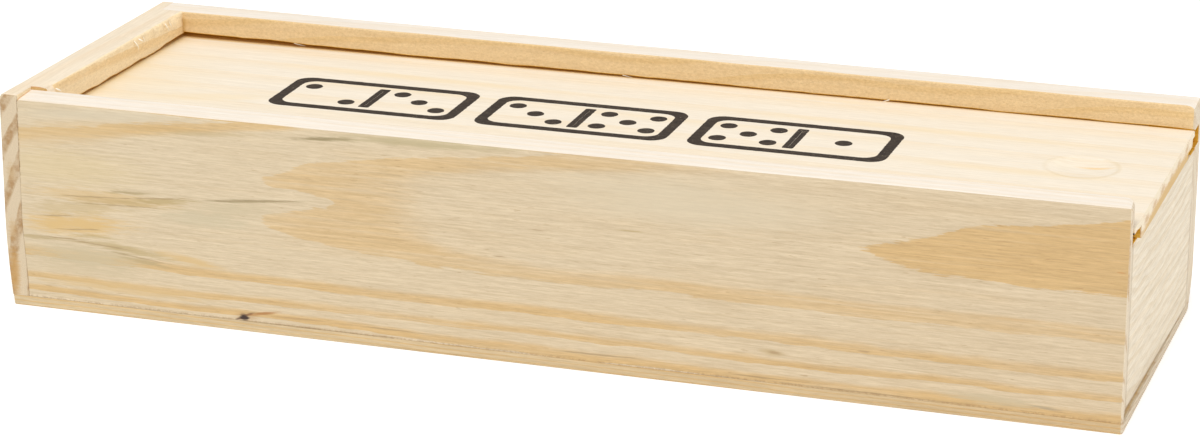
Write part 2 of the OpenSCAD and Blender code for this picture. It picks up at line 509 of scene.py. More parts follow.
def fillEnd(flat, step):
    # triangles over a closed outline in two dimensions, with a lattice of points inside it
    low, high = flat.min(0), flat.max(0)
    across, up = np.meshgrid(*(np.arange(low[k] + step / 2, high[k], step) for k in (0, 1)))
    grid = np.stack([across.ravel(), up.ravel()], -1)
    inside = np.zeros(len(grid), bool)
    for a, b in zip(flat, np.roll(flat, -1, 0)):  # even-odd rule, one edge at a time over all points
        crosses = (a[1] > grid[:, 1]) != (b[1] > grid[:, 1])
        with np.errstate(divide="ignore", invalid="ignore"):
            at = (b[0] - a[0]) * (grid[:, 1] - a[1]) / (b[1] - a[1]) + a[0]
        inside ^= crosses & (grid[:, 0] < at)
    near = np.min(np.linalg.norm(grid[inside][:, None] - flat[None], axis=-1), axis=1) > step * 0.35
    points = np.concatenate([flat, grid[inside][near]])
    verts, _, faces, origins, _, _ = delaunay_2d_cdt(
        [Vector(p) for p in points], [], [list(range(len(flat)))], 1, 1e-5)
    index = [o[0] if o else -1 for o in origins]
    return points, [[index[k] for k in f] for f in faces]


def closeEnds(places, kinds, step=0.6):
    # skin over the stations, closed at both ends by filled faces with the second finish
    count, around = places.shape[:2]
    skin = places.reshape(-1, 3)
    faces = skinFaces(count, around)
    allKinds = [np.broadcast_to(kinds, (count - 1, around)).ravel()]
    parts, total = [skin], len(skin)
    for start in (0, (count - 1) * around):
        ring = skin[start:start + around]
        axis = int(np.argmin(np.ptp(ring, axis=0)))
        keep = [k for k in range(3) if k != axis]
        points, triangles = fillEnd(ring[:, keep], step)
        extra = np.full((len(points) - around, 3), ring[:, axis].mean())
        extra[:, keep] = points[around:]
        parts.append(extra)
        faces += [[start + k if k < around else total + k - around for k in f] for f in triangles]
        allKinds.append(np.ones(len(triangles), int))
        total += len(extra)
    return np.concatenate(parts), faces, np.concatenate(allKinds)


def relief(places, seed, size, amount):
    # slow unevenness of a sanded face: noise in the long direction and up, times amount
    along = places[..., 0] + places[..., 1] * 0.7
    return latticeNoise(along / size, places[..., 2] / size * 1.6 + 20, seed) * amount


# How hand-made the case is: its long tops dip, its left end is worn in at the foot and the joint there leans
caseWear = {"frontDip": (0.38, 0.16), "frontTilt": (0.28, 0.06), "backDip": (0, 0.2), "footWear": 0.75,
            "footHeight": 12, "seamLean": 0.5, "backRim": (0.3, 0.45), "endRim": 1.15,
            "endTaper": 0.9, "lidSag": 0.2, "openSkew": 0.6, "openFoot": (2.8, 6)}


def alongCase(x, pair):
    # goes evenly from the first value at the left end to the second at the right
    return pair[0] + (pair[1] - pair[0]) * (x - caseLow[0]) / (caseHigh[0] - caseLow[0])


def towardsBack(y):
    # 0 at the front of the case and 1 at its back
    return (y - caseLow[1]) / (caseHigh[1] - caseLow[1])


def rimFace(y):
    # where the closed end's rim has its inner face: it gets thicker towards the back
    return closedHigh[0] + caseWear["endRim"] * towardsBack(y)


def seamLean(z):
    # the joints at the closed end lean outwards above their foot: lean times a smooth step of the height
    return caseWear["seamLean"] * smoothStep(2, 13, z)


def lidSag(x):
    # the lid lies lower towards the closed end: sag times the share of the way there ^ 1.3
    return caseWear["lidSag"] * unit((25 - x) / 95) ** 1.3


def footWear(z):
    # how far the left end is worn in: wear times (the share of the height still below footHeight) ^ 1.7
    return caseWear["footWear"] * unit(1 - z / caseWear["footHeight"]) ** 1.7


def openFootWear(places):
    # how far the back is worn in at the foot of the open end: wear times (the share of the height left) ^ 1.8
    (wear, height), (x, y, z) = caseWear["openFoot"], places.T
    return wear * smoothStep(55, 73, x) * unit((y - 20) / 5) * unit(1 - z / height) ** 1.8


# Side boards: a grooved section carried along X, the same for the back and, mirrored, the front
sideBoard = {"roofDrop": (0, 0.23), "cornerGap": 0.25, "roofWave": 0.07, "lipWear": 0.95, "rimFray": 0.025,
             "unevenness": 0.03, "faceStep": 0.35}


def groovedBoard(outer, inner, back, low, top, faceStep):
    corners = [(outer, low, edges["arris"], 0, faceStep), (outer, top, edges["top"], 1),
               (inner, top, edges["inner"], 2), (inner, grooveRoof, 0.1, 3), (back, grooveRoof, 0.06, 3),
               (back, grooveFloor, 0.06, 3), (inner, grooveFloor, 0.1, 4), (inner, low, edges["arris"], 5)]
    return outline(corners, edges["step"])


def sideShape(seed, dip, tilt, thick):
    # places of the board at +Y, and the finish of each face
    inner, outer, low, top = sideLow[1], sideHigh[1], sideLow[2], sideHigh[2]
    back, uneven = inner + grooveSize["depth"], sideBoard["unevenness"]
    flat, marks = groovedBoard(outer, inner, back, low, top, sideBoard["faceStep"])
    along = stations(sideLow[0], sideHigh[0], edges["step"], edges["fine"])
    places, x, y, z = carry(flat, along)
    # the groove's roof wanders, more open at the closed end, and the rim above it is frayed
    wave = latticeNoise(along / 5, along * 0 + seed, seed)
    wave += 0.5 * latticeNoise(along / 1.3, along * 0 + 3, seed + 1)
    roof = sideBoard["cornerGap"] * smoothStep(-35, -70, along) - alongCase(along, sideBoard["roofDrop"])
    roof += sideBoard["roofWave"] * wave
    share = unit((top - z) / grooveSize["rim"])
    z += np.where((z > grooveFloor + 0.3) & (y < back + 0.1), share * roof[:, None], 0)
    # its lower lip is broken away at the open end
    lip = sideBoard["lipWear"] * smoothStep(72.6, 73.6, along)[:, None] * unit((z - grooveFloor) / 3 + 1)
    z -= np.where((z < grooveFloor + 0.15) & (y < back + 0.1), lip, 0)
    isRim = (z > grooveFloor + 1) & (y < inner + 0.7)
    fray = sideBoard["rimFray"] * (latticeNoise(x / 0.9, z / 0.7, seed + 2) + 0.6)
    y -= np.where(marks[:, 0] == 2, fray, 0)
    y -= np.where(isRim, alongCase(x, thick) * unit((inner + 0.7 - y) / 0.6), 0)
    y += np.where(y > outer - 1, relief(places, seed + 4, 14, uneven) - uneven, 0)
    # the top dips, and tilts outwards
    outwards = unit((y - inner) / (outer - inner))
    drop = alongCase(x, dip) + alongCase(x, tilt) * outwards + uneven * (1 - relief(places, seed + 5, 9, 1))
    z -= drop * unit((z - top + 1.5) / 1.5)
    # rounded open end, eased start, and the lean of the joint
    left = sideHigh[0] - x
    y[:] = drawIn(y, back + 0.4, outer, insetAt(left, edges["corner"]))
    radius = edges["endTop"] + (edges["corner"] - edges["endTop"]) * outwards
    z[:] = drawIn(z, grooveRoof + 0.6, top, insetAt(left, radius))
    y[:] = drawIn(y, back + 0.4, outer, insetAt(x - sideLow[0], edges["arris"]))
    x -= seamLean(z) * unit(1 - (x - sideLow[0]) / 5)
    kinds = np.tile(partKinds[marks[:, 0]], (len(along) - 1, 1))
    # the inner face beside the slot at the open end takes the groove finish, whose painted ochre glow stands
    # in for the shade there
    nearSlot = (flat[:, 1] < grooveFloor) & (flat[:, 1] > openHigh[2] - 0.3)
    nearSlot &= np.abs(flat[:, 0] - inner) < 0.15
    kinds[(along[1:] > openLow[0])[:, None] & nearSlot] = 3
    # the lower part of the rounded edge takes the face's darker finish rather than the top's paler one, a
    # painted shade that softens the light on the edge, and only the bare end shows end grain
    kinds[:, (marks[:, 0] == 1) & (flat[:, 1] < top - 0.12)] = 0
    kinds[(along[1:] > sideHigh[0] - 0.25)[:, None] & (kinds != 3)] = 1
    return places, kinds


def sideSeam(places):
    # high on the arrises where the board meets the panel and the closed end, most where that joint is widest
    x, y, z = places.T
    foot = 1 - smoothStep(0.02, 0.2, z - sideLow[2])
    start = 1 - smoothStep(0.02, 0.2, x + seamLean(z) - sideLow[0])
    isTop = z > sideHigh[2] - 0.9
    onTop = (np.abs(y) > sideLow[1] + 0.25) * np.where(y < 0, 1, 0.3)
    start *= np.where(isTop, onTop, 0.35 + smoothStep(17, 20, z))
    # the upright corner at the back, under the rims
    corner = 0.8 - 0.8 * smoothStep(0.05, 0.25, np.abs(x - rimFace(sideLow[1])))
    corner *= (z > grooveRoof) & (y > 0) & ~isTop
    return np.maximum(np.maximum(foot * 0.7, start), corner)


# Growth lines of the front board, from the foot up: places along it and their heights, then places and ring
# counts. A crisp edge of dark wood lies where the count is whole, and the pale wood begins 0.38 below it.
frontLines = (
    ((0, 0), (0, 3.6)),
    ((0, 2.3, 28, 2.2, 45, 2, 75, 1.5, 150, 1.3), (0, 3)),
    ((0, 3.5, 75, 3.1, 150, 2.9), (0, 2.62)),
    ((0, 4.2, 40, 3.9, 75, 4, 110, 3.8, 150, 4.1), (0, 2)),
    ((0, 5.4, 150, 5.3), (0, 1.62)),
    ((0, 7.3, 28, 7, 45, 6.7, 75, 6.7, 100, 6.9, 150, 6.6), (0, 1)),
    ((0, 9.2, 40, 8.6, 150, 8.5), (0, 0.6)),
    ((0, 14.5, 36.5, 15.7, 38, 14.9, 41.5, 13.7, 46.5, 12.8, 54, 12.3, 59, 11.8, 66, 11.5, 75, 11.3, 90,
     11.5, 110, 11.6, 130, 11.4, 150, 11.6), (0, 0.5, 30, 0.4, 37, 0)),
    ((0, 15.5, 37, 16.4, 41.5, 15.9, 46.5, 15.2, 54, 14.4, 60, 13.4, 66, 13, 75, 12.6, 110, 12.9, 150,
     12.9), (0, 0.5, 30, 0.4, 37, 0, 39, -0.14, 46, -0.17, 60, -0.12)),
    ((0, 16.8, 37, 16.8, 39.5, 17, 43, 18, 47, 18.7, 54, 17.5, 60, 15.6, 75, 14.3, 150, 14.2), (0, 0.5,
     30, 0.4, 37, 0.02, 46, 0, 48, -0.12, 54, -0.22, 60, -0.3, 66, -0.42)),
    ((0, 19, 43, 19, 50, 19.2, 60, 19, 100, 20.2, 117.5, 20.3, 119, 19.3, 121, 18.7, 125, 18.2, 130,
     17.8, 150, 17.7), (0, 0.5, 37, 0.3, 43, 0.25, 46.5, 0.1, 48.5, -0.1, 54, -0.22, 62, -0.42, 75, -0.5,
     105, -0.7, 117.5, -1)),
    ((0, 19.6, 37, 20.6, 39, 20.2, 43, 19.7, 47, 19.4, 60, 19.6, 100, 20.5, 117.5, 20.6, 121, 19.8, 125,
     19.6, 130, 19.2, 150, 19), (0, 0.5, 30, 0.4, 37, 0.02, 46, 0, 48, -0.12, 54, -0.22, 62, -0.42, 75,
     -0.5, 105, -0.7, 117.5, -1, 121, -1.05, 130, -1.1, 150, -1.12)),
    ((0, 21.3, 37, 21.2, 40, 21.2, 46, 21.6, 54, 22.4, 60, 23.2, 66, 24, 75, 25, 85, 25.5, 95, 25, 110, 22,
     117.5, 21, 121, 20.9, 125, 22, 130, 23.6, 141, 25.2, 150, 26.4), (0, 0.5, 30, 0.4, 37, 0, 39, -0.14,
     46, -0.2, 54, -0.24, 62, -0.38, 66, -0.42, 90, -0.5, 110, -0.8, 117.5, -1, 121, -1.05, 130, -1.1,
     150, -1.12)),
    ((0, 21.6, 37, 21.7, 46, 22.6, 60, 23.5, 75, 25.3, 90, 25.5, 110, 22.5, 117.5, 21.2, 121, 22, 125, 23,
     128.5, 24.1, 129.5, 24.8, 135, 25.3, 141, 26.3, 150, 27.6), (0, 0.56, 20, 0.31, 37, 0, 41, -0.05, 46,
     -0.12, 54, -0.2, 60, -0.36, 66, -0.42, 90, -0.5, 110, -0.8, 117.5, -1)),
    ((0, 21.8, 37, 21.9, 41, 22.4, 46, 23.4, 54, 24.6, 60, 25.3, 66, 26.2, 75, 27.1, 85, 28.2, 100, 31, 110,
     34, 150, 36), (0, 0.57, 20, 0.31, 37, 0.01, 41, -0.04, 46, -0.08, 54, -0.12)),
    ((0, 22.2, 37, 22.2, 40, 22.6, 44, 24, 49, 24.9, 59, 26.3, 66.5, 27.3, 74, 28.1, 85, 29.3, 100, 32,
     110, 35, 150, 38), (0, 0.6, 20, 0.33, 37, 0)),
    ((0, 22.6, 12, 23.8, 20, 25, 35, 27, 45, 28.5, 60, 31, 100, 38, 150, 44), (0, 0.63)),
    ((0, 24.6, 12, 25.7, 20, 26.9, 28, 27.9, 35, 28.6, 45, 29.8, 60, 33, 150, 48), (0, 1)),
    ((0, 32, 150, 60), (0, 1.3)),
)


def frontRings(places):
    # ring count on the front board: between two neighbouring growth lines it changes evenly with the height,
    # and it falls with the depth under the face
    x, y, z = places.T
    x = x - caseLow[0]
    z = z + 0.18 * latticeNoise(x / 9, z / 3, 31) + 0.1 * latticeNoise(x / 3, z, 32)
    heights, counts = ([np.interp(x, line[k][::2], line[k][1::2]) for line in frontLines] for k in (0, 1))
    rings = np.full(len(x), counts[0])
    for k in range(len(frontLines) - 1):
        share = unit((z - heights[k]) / np.maximum(heights[k + 1] - heights[k], 0.05))
        rings = np.where(z > heights[k], counts[k] + (counts[k + 1] - counts[k]) * share, rings)
    return rings - 0.7 * np.maximum(y - caseLow[1] - 0.1, 0) + 10


def frontStrength(rings):
    # how dark each ring's latewood is
    return np.interp(rings - 10, (-1.5, -0.95, -0.6, 0.05, 0.5, 1.05, 1.5, 2.05, 2.5, 3.05),
                     (1.15, 1.15, 0.66, 0.66, 0.85, 0.9, 0.85, 0.95, 1, 1.05))


def addSideBoards():
    back, kinds = sideShape(11, caseWear["backDip"], (0, 0), caseWear["backRim"])
    skin, faces, allKinds = closeEnds(back, kinds)
    skin[:, 1] -= openFootWear(skin)
    # rings 2.6 mm apart round a heart at (9, 12), in a log that thins along the board
    x, y, z = skin.T
    bend = latticeNoise(x / 22, z / 9, 41) * 0.8
    rings = (np.hypot(y + bend - 9, z + bend - 12) - 0.045 * x) / 2.6 + 30
    makePiece("backBoard", skin, faces, allKinds, [plainPine, plainEnd, sawnPine, groovePine, rimPine], "box",
              "back_board", {"rings": rings, "seamAndShade": sideSeam(skin)})
    front, kinds = sideShape(51, caseWear["frontDip"], caseWear["frontTilt"], (0, 0))
    skin, faces, allKinds = closeEnds(front, kinds)
    # the front board's open end is cut a little out of square
    x, y, z = skin.T
    inwards = unit((sideHigh[1] - y) / (sideHigh[1] - sideLow[1]))
    x -= caseWear["openSkew"] * inwards * unit(1 - (sideHigh[0] - x) / 5)
    y *= -1
    rings = frontRings(skin)
    makePiece("frontBoard", skin, faces, allKinds, [frontPine, frontEnd, sawnPine, groovePine, rimPine], "box",
              "front_board",
              {"rings": rings, "strength": frontStrength(rings), "seamAndShade": sideSeam(skin)})


# Closed end board: a grooved section in X and Z carried along Y, rabbeted at both ends. A chip torn out of
# its inner top edge is given as its place, half width and depth.
closedEnd = {"chips": ((6.3, 1.4, 0.45), (9.5, 1, 0.3), (12.2, 1.4, 0.4), (14.6, 0.7, 0.35),
                       (17.6, 1.8, 0.55), (-19.2, 2, 1), (1, 0.8, 0.2)),
             "fray": 0.17, "roofDrop": 0.25, "chipTone": 0.32}


def addClosedEnd():
    outer, inner, seat = closedLow[0], closedHigh[0], sideLow[0]
    low, top, wall = closedLow[2], closedHigh[2], sideLow[1]
    flat, marks = groovedBoard(outer, inner, seat, low, top, edges["step"])
    along = stations(closedLow[1], closedHigh[1], edges["step"], edges["fine"])
    along = along[np.abs(np.abs(along) - wall) > 0.1]
    along = np.sort(np.concatenate([along, [-wall - 0.02, -wall, wall, wall + 0.02]]))
    places, x, y, z = carry(flat, along, 1)
    # the rim gets thicker towards the back
    isRim = (z > grooveFloor + 1) & (x > inner - 0.7)
    x += np.where(isRim, (rimFace(y) - inner) * unit((x - inner + 0.7) / 0.6), 0)
    # the inner top edge is frayed and chipped, most at the edge itself
    still = along * 0
    chip = latticeNoise(along / 1.1, still, 71) + 0.4 * latticeNoise(along / 0.4, still, 72) + 0.5
    chip *= closedEnd["fray"]
    shift = 0.3 * latticeNoise(along / 0.6, still, 73)
    for at, half, depth in closedEnd["chips"]:
        chip += depth * smoothStep(1, 0.4, np.abs(along - at + shift) / half)
    torn = np.exp(-np.maximum(top - z, 0) / 0.9) * np.exp(-np.maximum(rimFace(y) - x, 0) / 0.7)
    torn *= np.maximum(chip, 0)[:, None]
    x -= torn
    z -= torn * 0.5
    x -= np.where(marks[:, 0] == 2, 0.03 * (latticeNoise(y / 1.2, z / 0.8, 74) + 1), 0)
    roof = 0.1 * latticeNoise(along / 3, still, 75) + 0.05 * latticeNoise(along / 0.9, still, 76)
    roof -= closedEnd["roofDrop"] * smoothStep(1, 0.6, towardsBack(along))
    z += np.where((marks[:, 0] == 3) & (z > grooveFloor + 0.5), roof[:, None], 0)
    # the laps at both ends stop at the side boards
    lap = np.abs(y) > wall + 0.01
    x[:] = np.where(lap, np.minimum(x, seat), x)
    x -= np.where(lap, seamLean(z) * unit((x - outer) / (seat - outer)), 0)
    x[:] = np.maximum(x, outer)
    left = closedHigh[1] - np.abs(y)
    worn = footWear(z) + caseWear["endTaper"] * towardsBack(y)
    x[:] = drawIn(x, outer + 1.8, outer, insetAt(left, edges["inner"]) + worn)
    z[:] = drawIn(z, top - 2, top, insetAt(left, edges["top"]))
    kinds = np.tile(partKinds[marks[:, 0]], (len(along) - 1, 1))
    kinds[(torn[1:] > closedEnd["chipTone"]) & (along[1:, None] < 0)] = 4
    kinds[np.abs(along[1:] + along[:-1]) / 2 > closedHigh[1] - 0.3] = 1
    skin, faces, allKinds = closeEnds(places, kinds, 0.4)
    x, y, z = skin.T
    # rings 2.9 mm apart round a heart 39 mm inside the box at its foot, slanting stripes on the lapped ends
    rings = 30.72 + (np.hypot(x + 35, z) - 45.4) / 2.9 + 0.02 * (y - closedLow[1])
    isTop = z > top - 0.9
    seamAndShade = (1 - smoothStep(0.02, 0.18, np.abs(y + wall))) * isTop * (x > seat - 0.55)
    corner = 0.8 - 0.8 * smoothStep(0.05, 0.25, np.abs(y - wall + caseWear["backRim"][0]))
    seamAndShade = np.maximum(seamAndShade, corner * (x > inner - 0.3) * (z > grooveRoof) * ~isTop)
    makePiece("closedEndBoard", skin, faces, allKinds, [crossPine, crossEnd, crossSawn, crossGroove, crossRim],
              "box", "closed_end_board", {"rings": rings, "seamAndShade": seamAndShade})


# Open end board: a plain low board between the side boards
def addOpenEnd():
    (inner, front, low), (outer, back, top) = openLow, openHigh
    corners = [(inner, low, edges["arris"], 5), (outer, low, edges["arris"], 0),
               (outer, top, edges["inner"], 1), (inner, top, edges["inner"], 5)]
    flat, marks = outline(corners, 0.3)
    along = stations(front, back, 0.4, 0.4)
    places, x, y, z = carry(flat, along, 1)
    x[:] = drawIn(x, outer - 1, outer, insetAt(back - np.abs(y), edges["arris"]))
    kinds = np.tile(np.where(marks[:, 0] == 5, 2, 0), (len(along) - 1, 1))
    # the top beside the side boards, in the shaded gap under the lid, takes the groove finish with its painted
    # ochre glow
    kinds[(np.abs(along[1:] - 1.5) > 16.5)[:, None] & (flat[:, 1] > top - 0.12)] = 3
    skin, faces, allKinds = closeEnds(places, kinds)
    x, y, z = skin.T
    x -= caseWear["openSkew"] * (back - y) / (back - front) * (x - inner) / (outer - inner)
    # close lines that sag in the middle: (height + sag * (across / half width)^2) / spacing, uneven by noise
    rings = (z - 1.5 * ((y - 6) / back) ** 2 + 0.35 * latticeNoise(y / 4, z / 2, 91)) / 1.5
    rings += 0.5 * (outer - x) + 20
    patchy = 0.8 + 0.6 * np.where(y < 0, 0, latticeNoise(z / 1.2, y * 0, 93))
    beside = (1 - smoothStep(0.2, 0.6, back - np.abs(y))) * patchy
    seamAndShade = np.maximum(beside, 0.5 * (1 - smoothStep(0.03, 0.25, z - low)))
    makePiece("openEndBoard", skin, faces, allKinds, [openPine, crossEnd, crossSawn, crossGroove],
              "box", "open_end_board", {"rings": rings, "seamAndShade": seamAndShade})


# Bottom panel: a thin sheet under all four boards
def addPanel():
    (start, front, low), (end, back, top) = panelLow, panelHigh
    corners = [(front, low, edges["foot"], 5), (back, low, edges["foot"], 0, 0.25),
               (back, top, edges["arris"], 5), (front, top, edges["arris"], 0, 0.25)]
    flat, marks = outline(corners, edges["step"])
    along = stations(start, end, edges["step"], edges["fine"])
    places, x, y, z = carry(flat, along)
    left = end - np.abs(x)
    for side in (-1, 1):
        y[:] = drawIn(y, side * (back - 2), side * back, insetAt(left, edges["corner"]))
    z[:] = drawIn(z, top, low, insetAt(left, edges["foot"]))
    x[:] = drawIn(x, start + 1.8, start, footWear(z) + caseWear["endTaper"] * towardsBack(y))
    kinds = np.zeros((len(along) - 1, len(flat)), int)
    kinds[np.abs(along[1:] + along[:-1]) / 2 > end - 0.3] = 1
    skin, faces, allKinds = closeEnds(places, kinds, 0.3)
    skin[:, 1] -= openFootWear(skin)
    x, y, z = skin.T
    rings = y / 5.5 + z * 1.7 + 0.012 * x + 0.25 * latticeNoise(x / 12, y / 6, 95) + 20
    makePiece("bottomPanel", skin, faces, allKinds, [panelPine, panelEnd], "box",
              "bottom_panel", {"rings": rings})


# Lid: a thick middle between thin tongues, with a round thumb recess near its free end. What is broken off
# its lower edge is given as where it starts and ends across the lid, how far in and up to what height.
lidShape = {"tongue": 1.45, "shoulderGap": 2, "thumbWidth": 9.4, "thumbDepth": 0.6, "thumbIn": 11,
            "fineStep": 0.22, "endNotch": 0.75, "notchLength": 4, "frontTip": 0.12, "backTip": 2.5,
            "broken": (15.2, 18.4, 71.2, 24), "shade": 0.8, "wornLength": 6}


def addLid():
    (begin, _, low), (end, half, top) = lidLow, lidHigh
    shoulder = sideLow[1] - lidShape["shoulderGap"]
    under = top - lidShape["tongue"]
    corners = [(-shoulder, low, 0.2, 2), (shoulder, low, 0.2, 2), (shoulder, under, 0.2, 2),
               (half, under, 0.2, 2), (half, top, edges["inner"], 0), (-half, top, edges["inner"], 2),
               (-half, under, 0.2, 2), (-shoulder, under, 0.2, 2)]
    flat, marks = outline(corners, edges["step"])
    thumb, reach, step = end - lidShape["thumbIn"], lidShape["thumbWidth"] / 2, lidShape["fineStep"]
    # more points across the top and along the lid where the recess is
    isTop = (marks[:, 0] == 0) & (marks[:, 1] == 0)
    keep = ~(isTop & (np.abs(flat[:, 0]) < reach + 1))
    fine = np.arange(reach + 1, -reach - 1, -step)
    cut = int(np.argmax(isTop & (flat[:, 0] < reach + 1)))
    flat = np.concatenate([flat[:cut][keep[:cut]], np.stack([fine, np.full(len(fine), top)], -1),
                           flat[cut:][keep[cut:]]])
    isTop = np.concatenate([marks[:cut, 0][keep[:cut]], fine * 0, marks[cut:, 0][keep[cut:]]]) == 0
    rebate = closedHigh[0] + lidShape["shoulderGap"]
    along = stations(begin, end, edges["step"], edges["fine"])
    along = along[(np.abs(along - thumb) > reach + 1) & (np.abs(along - rebate) > 0.1)]
    along = np.sort(np.concatenate([along, np.arange(thumb - reach - 1, thumb + reach + 1, step),
                                    [rebate - 0.02, rebate]]))
    places, x, y, z = carry(flat, along)
    z[:] = np.where(x < rebate - 0.01, np.maximum(z, under), z)
    z[:] = drawIn(z, top - 0.6, top, insetAt(end - x, edges["inner"]))
    # the tongues thin out towards the free end
    isTongue = (np.abs(y) > shoulder - 0.3) & (z > low + 0.5) & (z < under + 0.3)
    z += np.where(isTongue, lidShape["endNotch"] * smoothStep(lidShape["notchLength"], 0.5, end - x), 0)
    # the recess is a cap of a ball: points near its rim are moved onto the circle, and those inside sink
    onTop = isTop & (z > top - 0.01)
    far = np.hypot(x - thumb, y)
    snap = onTop & (np.abs(far - reach) < step * 0.6)
    pull = np.where(snap, reach / np.maximum(far, 1e-6), 1)
    x[:], y[:] = thumb + (x - thumb) * pull, y * pull
    far = np.where(snap, reach, far)
    depth = lidShape["thumbDepth"]
    ball = (reach ** 2 + depth ** 2) / (2 * depth)
    sink = np.sqrt(np.maximum(ball ** 2 - far ** 2, 0)) - (ball - depth)
    z -= np.where(onTop & (far < reach), sink, 0)
    z -= np.where(z > under + 0.1, lidSag(along)[:, None] * unit((z - under) / (top - under)), 0)
    # its margins are rougher, with a faint painted glow for the shaded groove they run in, and so is its top
    # under the closed end's rim; the worn tips are ochre and take the groove's stronger painted glow
    isMargin = (np.abs(flat[:, 0]) > shoulder - 0.25) & (flat[:, 1] < top - 0.3)
    isMargin |= np.abs(flat[:, 0]) > sideLow[1] - 0.1
    kinds = np.where(isMargin | (along[1:, None] < rimFace(flat[:, 0]) + 0.05), 2, 0)
    kinds[(along[1:] > end - 1.5)[:, None] & (flat[:, 0] < 0) & (flat[:, 1] > top - 0.5)] = 0
    kinds[(along[1:] > end - lidShape["wornLength"])[:, None] & (kinds == 2)] = 3
    kinds[along[1:] > end - 0.12] = 1
    skin, faces, allKinds = closeEnds(places, kinds, 0.4)
    x, y, z = skin.T
    # the tongues' tips are worn away at the free end, the back one more
    outside = smoothStep(sideLow[1] - 0.3, sideLow[1], np.abs(y))
    x -= np.where(y > 0, lidShape["backTip"], lidShape["frontTip"]) * outside * smoothStep(end - 4, end, x)
    # a piece of its lower edge is broken off at the back
    left, right, inTo, level = lidShape["broken"]
    broken = smoothStep(left, left + 0.6, y) * smoothStep(right + 0.6, right, y)
    broken *= smoothStep(inTo, inTo + 0.5, x)
    z += 0.95 * broken * np.maximum(level - z, 0)
    # the broken piece and the worn back tip take the worn finish: ochre wear with the groove's painted glow
    tri = np.array([face[:3] for face in faces])
    atTip = outside * (y > 0) * (x > end - lidShape["wornLength"])
    touched = np.maximum(atTip[tri].max(1), broken[tri].max(1) * (z[tri].mean(1) < level + 0.05))
    allKinds = np.where(touched > 0.02, 3, allKinds)
    rings = (y + 0.018 * x) / 6.5 + 1.2 * (z - top) / 2.5 + 20.29
    # painted warm shade on the lid beside the rims, standing in for their shadow, and a painted shade line
    # round the rim of the recess, stronger towards the free end and the front
    beside = np.minimum((sideLow[1] - caseWear["backRim"][0] - y) * 4, x - rimFace(y))
    shade = np.exp(-np.maximum(beside, 0) / lidShape["shade"])
    rim = 0.12 + 0.14 * smoothStep(-3, 4, x - thumb - y)
    rim *= smoothStep(0.5, 0.1, np.abs(np.hypot(x - thumb, y) - reach))
    makePiece("slidingLid", skin, faces, allKinds, [lidPine, lidEnd, lidMargin, lidWornAndGlow], "lid",
              "sliding_lid", {"rings": rings, "seamAndShade": np.maximum(shade, rim)})


# Emblem printed on the lid: a row of outlined tiles with pips
emblem = {"left": -45.25, "tile": (26.5, 13.5), "gap": 2.75, "stroke": 1.5, "corner": 2.2, "pip": 1.15,
          "pipSpread": 3.4, "values": ((2, 3), (3, 5), (5, 1)), "rise": 0.02}
pipPlaces = {1: ((0, 0),), 2: ((-1, 1), (1, -1)), 3: ((-1, 1), (0, 0), (1, -1)),
             5: ((-1, 1), (1, 1), (0, 0), (-1, -1), (1, -1))}


def inkShape(centre, half, corner, width):
    # a rounded rectangle's outline, and the same drawn in by width, as a closed low ring of four lines
    right, up = half
    outer, _ = outline([(-right, -up, corner, 0), (right, -up, corner, 0), (right, up, corner, 0),
                        (-right, up, corner, 0)], 0.15)
    inner = outer * ((right - width) / right, (up - width) / up)
    ring = np.empty((len(outer), 4, 3))
    for k, (line, rise) in enumerate(((outer, 1), (inner, 1), (inner, -1), (outer, -1))):
        ring[:, k, :2] = line + centre
        ring[:, k, 2] = lidHigh[2] + rise * emblem["rise"]
    # the ink runs a little along the fibres
    x, y = ring[..., 0].copy(), ring[..., 1].copy()
    ring[..., 0] += 0.05 * latticeNoise(y / 0.13, x / 0.9, 61)
    ring[..., 1] += 0.025 * latticeNoise(x / 0.5, y / 0.2, 62)
    ring[..., 2] -= lidSag(ring[..., 0])
    return ring


def addEmblem():
    shapes = []
    (wide, tall), stroke, pip, spread = (emblem[key] for key in ("tile", "stroke", "pip", "pipSpread"))
    for k, pair in enumerate(emblem["values"]):
        middle = emblem["left"] + wide / 2 + k * (wide + emblem["gap"])
        shapes.append(inkShape((middle, 0), (wide / 2, tall / 2), emblem["corner"], stroke))
        shapes.append(inkShape((middle, 0), (stroke / 2, tall / 2 - stroke * 1.6), 0.25, stroke / 2 - 0.02))
        for side, value in zip((-1, 1), pair):
            for across, up in pipPlaces[value]:
                at = middle + side * (wide / 4 - stroke * 0.15) + across * spread, up * spread * 0.82
                shapes.append(inkShape(at, (pip, pip), pip * 0.999, pip - 0.02))
    faces, total = [], 0
    for ring in shapes:
        # the outline closes on itself, so the ring is skinned with its first line again at its end
        faces += (np.array(skinFaces(len(ring) + 1, 4)) % (len(ring) * 4) + total).tolist()
        total += len(ring) * 4
    skin = np.concatenate([ring.reshape(-1, 3) for ring in shapes])
    makePiece("tileEmblem", skin, faces, np.zeros(len(faces), int), [inkFinish()], "lid")


def inkFinish():
    # worn charcoal ink: mottled, with pale flecks where the fibres show through
    material, tree, shader, inMm = newFinish("charcoalInk")
    mottle = grainNoise(tree, inMm, (0.8, 2, 2), 4, 0.65)
    colour = blendColour(tree, ramp(tree, mottle, 0.3, 0.7), (0.03, 0.021, 0.016), (0.06, 0.044, 0.032))
    flecks = grainNoise(tree, inMm, (2.2, 5, 5), 3, 0.6)
    worn = grainNoise(tree, inMm, (0.12, 0.2, 0.2), 2)
    share = times(tree, ramp(tree, flecks, 0.63, 0.72), ramp(tree, worn, 0.4, 0.65, 0.1, 0.8))
    colour = blendColour(tree, share, colour, (0.5, 0.42, 0.3))
    shader.inputs["Specular IOR Level"].default_value = 0.15
    finishWood(tree, shader, colour, flecks, 0.7, 0.02)
    return material


